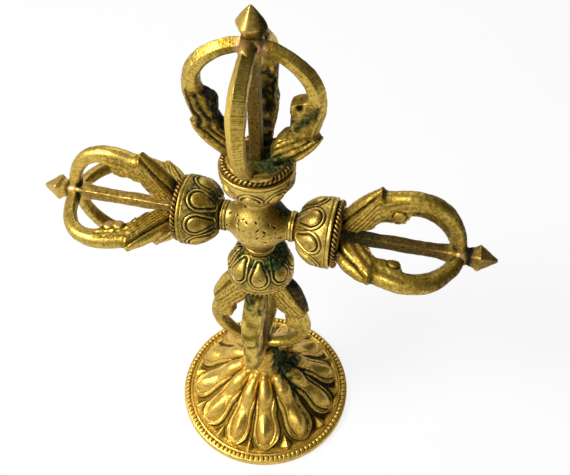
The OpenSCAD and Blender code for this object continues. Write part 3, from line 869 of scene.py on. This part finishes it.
def make_fillet():
    way = ball(40, 56)
    shape = way * FILLET_HALF * (1 + 0.1 * noise(way, 0.6, 43))[..., None]
    along = -Y * math.cos(FILLET_SLOPE) - Z * math.sin(FILLET_SLOPE)
    over = Z * math.cos(FILLET_SLOPE) - Y * math.sin(FILLET_SLOPE)
    grid = FILLET_AT + X * shape[..., :1] + along * shape[..., 1:2] + over * shape[..., 2:3]
    right = smooth(0.4, 1.3, grid[..., 0] + 0.5 * noise(grid, 1.1, 45))
    make_piece("solder_fillet", grid, None, "prong_brass", prong_brass, hollow=0.1 + 0.3 * noise(grid, 0.9, 44),
               stain=0.15 + 0.5 * right, solder=0.5 - 0.4 * right, along=0, filed=0)


def make_lug():
    way = ball(28, 40)
    shape = way * LUG_HALF * (1 + 0.12 * noise(way, 0.7, 41))[..., None]
    out = np.array([math.cos(LUG_WAY), math.sin(LUG_WAY), 0])
    along = np.cross(Z, out)
    middle = HUB + Z * (MOUTH_S + 0.5) + out * (MOUTH_R + 0.75)
    grid = middle + along * shape[..., :1] + out * shape[..., 1:2] + Z * shape[..., 2:3]
    make_piece("solder_lug", grid, None, "prong_brass", prong_brass,
               hollow=-0.1, stain=0, solder=0, along=0, filed=0)


# Lotus base: gourd-shaped petals on a hollow cone, small bosses between them, and a milled border

BASE_PETALS = 12
BASE_TURN = 20
BASE_COLS = 896
STEM_R = 3.7
SHOULDER_R, SHOULDER_H = 6.4, 14.4
PETAL_OUT_R, RIM_H = 20.5, 1.9
BOSS_AT_R = 20.2
RING_AT_R = 21.7
MILLED_FROM_R, MILLED_TO_R = 22.2, 23.4
NOTCHES = 112
# Along a petal: share of the way out, half width and lift
PETAL_U = [-0.12, 0, 0.1, 0.21, 0.33, 0.43, 0.53, 0.64, 0.73, 0.82, 0.89, 0.95]
PETAL_W = [0.7, 1.35, 1.8, 2.0, 1.72, 1.5, 1.75, 2.2, 2.28, 1.95, 1.35, 0.4]
PETAL_LIFT = [0.3, 1.3, 2.1, 2.3, 1.65, 1.05, 1.4, 2.3, 2.6, 2.2, 1.4, 0.3]
# Petals that stand askew: azimuth, turn and reach, in degrees
ASKEW = [(284, 7, 17), (317, 4, 17), (168, 3, 20)]


def base_profile():
    """Rows of r and height over the top and back under the hollow, and 1 for each row on top."""
    bend = np.linspace(0, 0.985, 40)
    stem = np.stack([STEM_R + (SHOULDER_R - STEM_R) * (1 - np.sqrt(1 - bend**2)),
                     STEM_TOP + (SHOULDER_H - STEM_TOP) * bend], -1)
    cone = path([(SHOULDER_R, SHOULDER_H), (PETAL_OUT_R, RIM_H)], 0.16)
    rim = path([(PETAL_OUT_R + 0.1, RIM_H), (MILLED_FROM_R, RIM_H), (22.3, RIM_H + 0.4), (22.6, RIM_H + 0.55),
                (23.1, RIM_H + 0.5), (MILLED_TO_R, RIM_H + 0.2), (23.75, RIM_H), (BASE_R - 0.08, RIM_H - 0.35),
                (BASE_R - 0.05, 0.4), (BASE_R - 0.3, 0)], 0.14)
    under = path([(BASE_R - 1, 0), (18.6, 0), (18.1, 0.3), (6.0, 11.8), (5.0, 12.4), (1.4, 12.4), (1.2, 13),
                  (1.2, STEM_TOP - 0.2)], 1.0)
    profile = np.vstack([stem, cone, rim, under])
    on_top = (np.arange(len(profile)) < len(profile) - len(under)).astype(float)
    return profile, on_top[:, None]


def off_azimuth(azimuth, middle):
    """Degrees from a middle azimuth, from -180 to 180."""
    return (azimuth - middle + 180) % 360 - 180


def make_base():
    profile, on_top = base_profile()
    r, h = profile[:, :1], profile[:, 1:]
    turn = turns(BASE_COLS)
    azimuth = np.degrees(turn)
    grid = np.stack([r * np.cos(turn), r * np.sin(turn), h + 0 * turn], -1)

    # Petals: a gourd on a slightly wider blade with a raised lip
    u = (r - SHOULDER_R) / (PETAL_OUT_R - SHOULDER_R)
    pitch = FULL_TURN / BASE_PETALS
    askew = sum(np.radians(by * bump(azimuth - middle, reach)) for middle, by, reach in ASKEW)
    hand_turn = turn + askew - math.radians(BASE_TURN)
    y = ((hand_turn + pitch / 2) % pitch - pitch / 2) * r
    wide = curve(u, PETAL_U, PETAL_W)
    lift = curve(u, PETAL_U, PETAL_LIFT)
    swell = np.clip(1 - np.abs(y) / wide, 0, 1)
    keel = 0.3 * smooth(0.5, 0.7, u)
    gourd = lift * ((1 - keel) * rounded(swell) + keel * swell)
    u_blade = u / 1.06
    blade_w = curve(u_blade, PETAL_U, PETAL_W) + 1.5 * smooth(0.98, 0.8, u_blade)
    blade_w = np.minimum(blade_w, pitch / 2 * r - 0.12)
    from_edge = blade_w - np.abs(y)
    blade = (0.2 + 0.85 * rounded(from_edge / blade_w)) * smooth(-0.05, 0.4, from_edge)
    blade = blade * smooth(0.97, 0.9, u_blade) * smooth(-0.1, 0.2, u)
    blade = blade - 0.35 * bump(np.abs(y) - wide - 0.12, 0.2) * (u < 0.9)
    lip = 0.38 * bump(from_edge - 0.38, 0.3) * smooth(0.72, 0.84, u) * (from_edge > 0)
    relief = np.maximum(gourd, np.maximum(blade + lip, 0))

    # Bosses between the petals' ends, a fine ring and the milled border
    boss_y = (hand_turn % pitch - pitch / 2) * r
    boss = 1.5 - 0.9 * np.abs(boss_y) - 0.62 * np.maximum(BOSS_AT_R - r, 0) - 1.4 * np.maximum(r - BOSS_AT_R, 0)
    relief = np.maximum(relief, np.clip(boss, 0, 1.4) * 0.9) * (u > -0.13) * (r < 21.4)
    ring = 0.3 * bump(r - RING_AT_R, 0.24)
    notch = np.abs(((turn * NOTCHES / FULL_TURN + 0.12 * np.sin(11 * turn)) % 1) - 0.5) * 2
    inside = 1 - smooth(MILLED_TO_R - 0.1, MILLED_TO_R + 0.1, r)
    cut = smooth(0.6, 0.92, notch) * smooth(MILLED_FROM_R - 0.1, MILLED_FROM_R + 0.1, r) * inside

    # The casting's skin, and a crust of verdigris at the foot of the right lower prong
    skin = 0.04 * noise(grid, 0.8, 30) + 0.05 * noise(grid, 2.2, 31) + 0.12 * noise(grid, 6, 32)
    scabs = noise(grid, 1.5, 33) + 0.5 * noise(grid, 0.7, 34)
    crust = bump(off_azimuth(azimuth, -4), 56) * (1 - smooth(8, 12.5, r))
    clot = bump(off_azimuth(azimuth, 6), 44) * (1 - smooth(5.6, 8.6, r))
    relief = (relief + ring - 0.32 * cut + skin + crust * (0.15 + 0.4 * scabs)) * on_top
    relief = relief * np.clip((BASE_R - 0.02 - r) / 0.4, 0, 1) * np.clip(h / 0.6, 0, 1)
    grid = grid + normals(grid, True) * relief[..., None]

    # Painted shade on the right side of the base, deepened with dark verdigris in the petals' flanks and the
    # ground there; the crust and the clot are verdigris
    right_side = bump(off_azimuth(azimuth, -5), 48)
    ground = smooth(0.65, 0.1, relief) * smooth(-0.05, 0.1, u) * (1 - smooth(0.96, 1.02, u)) * on_top
    hollow = np.maximum(hollows(grid, True) * 1.1, -0.15)
    hollow = hollow + 0.55 * ground + 0.2 * cut + 0.2 * right_side - 0.1 + 0.35 * (1 - on_top)
    flank = bump(np.abs(y) - wide - 0.3, 0.45) * smooth(0.05, 0.25, u) * (u < 0.92)
    stain = (right_side * (0.95 * flank + 0.42 * ground) + crust * (0.6 + 0.4 * scabs) + 0.48 * clot) * on_top
    make_piece("base_lotus", grid, "lotus_base", "base_brass", base_brass, loop_rows=True,
               hollow=hollow, stain=stain, solder=0.3 * bump(h - STEM_TOP, 1.5) * on_top)


make_hub()
for head_name in ARMS:
    make_bulb(head_name)
    make_ring(head_name)
    make_spindle(head_name)
    for side_name in sides_of(head_name):
        Prong(head_name, side_name).make()
make_lug()
make_fillet()
make_base()


# Camera, fitted to the photograph's view: where it stands from the hub, and which way it looks

CAM_FROM_HUB = np.array([26.55, -90.48, 97.87])
CAM_YAW, CAM_TILT, CAM_ROLL = 12.99, 47.64, 0.18
CAM_LENS, CAM_SENSOR = 39.95, 36

camera_data = bpy.data.cameras.new("camera")
camera_data.lens = CAM_LENS
camera_data.sensor_width = CAM_SENSOR
camera_data.clip_start = 0.005
camera = bpy.data.objects.new("camera", camera_data)
bpy.context.scene.collection.objects.link(camera)
turned = Matrix.Rotation(math.radians(CAM_YAW), 4, "Z") @ Matrix.Rotation(math.radians(90 - CAM_TILT), 4, "X")
turned = turned @ Matrix.Rotation(math.radians(CAM_ROLL), 4, "Z")
camera.matrix_world = Matrix.Translation(Vector((HUB + CAM_FROM_HUB) * MM)) @ turned
bpy.context.scene.camera = camera


# Floor and studio light

FLOOR_REACH = 1.5
FLOOR_GREY = (0.9, 0.9, 0.9, 1)
FLOOR_GLOW = 0.85
SKY_LEFT, SKY_RIGHT = (0.42, 0.42, 0.42, 1), (0.04, 0.04, 0.04, 1)


def make_floor():
    """A floor that looks near white, and still takes the object's shadow."""
    corners = [(-1, -1), (1, -1), (1, 1), (-1, 1)]
    mesh = bpy.data.meshes.new("floor")
    mesh.from_pydata([(x * FLOOR_REACH, y * FLOOR_REACH, 0) for x, y in corners], [], [(0, 1, 2, 3)])
    material = bpy.data.materials.new("floor_white")
    material.use_nodes = True
    n = Nodes(material.node_tree)
    rays = n.add("ShaderNodeLightPath").outputs
    seen = n.math("MAXIMUM", rays["Is Camera Ray"], rays["Is Glossy Ray"])
    seen = n.math("MAXIMUM", seen, rays["Is Transmission Ray"])
    paper = n.add("ShaderNodeBsdfDiffuse", {"Color": FLOOR_GREY})
    white = n.add("ShaderNodeEmission", {"Color": (1, 1, 1, 1), "Strength": 1.0})
    glow = n.math("MULTIPLY", seen, FLOOR_GLOW)
    both = n.add("ShaderNodeMixShader", {0: glow, 1: paper.outputs[0], 2: white.outputs[0]})
    n.add("ShaderNodeOutputMaterial", {"Surface": both.outputs[0]})
    mesh.materials.append(material)
    floor = bpy.data.objects.new("floor", mesh)
    bpy.context.scene.collection.objects.link(floor)


def make_lamp(name, place, size, power):
    """A soft square lamp, placed in metres from the hub and turned to it."""
    data = bpy.data.lights.new(name, "AREA")
    data.size = size
    data.energy = power
    lamp = bpy.data.objects.new(name, data)
    bpy.context.scene.collection.objects.link(lamp)
    lamp.location = Vector(HUB * MM) + Vector(place)
    lamp.rotation_euler = (-Vector(place)).to_track_quat("-Z", "Y").to_euler()


make_floor()
make_lamp("key_lamp", (-0.32, -0.2, 0.34), size=0.2, power=3.4)
make_lamp("fill_lamp", (0.1, -0.45, 0.3), size=0.4, power=0.4)
make_lamp("back_lamp", (-0.1, 0.4, 0.35), size=0.3, power=0.7)

# A sky that is light on the left and dark on the right
world = bpy.data.worlds.new("studio")
bpy.context.scene.world = world
world.use_nodes = True
sky = Nodes(world.node_tree)
sky_way = sky.add("ShaderNodeTexCoord").outputs["Generated"]
sky_x = sky.add("ShaderNodeSeparateXYZ", {"Vector": sky_way}).outputs["X"]
sky_colour = sky.blend(sky.ramp(sky_x, -0.6, 0.7), SKY_LEFT, SKY_RIGHT)
sky_light = sky.add("ShaderNodeBackground", {"Color": sky_colour, "Strength": 0.8})
sky.add("ShaderNodeOutputWorld", {"Surface": sky_light.outputs[0]})

bpy.context.scene.view_settings.view_transform = "Standard"
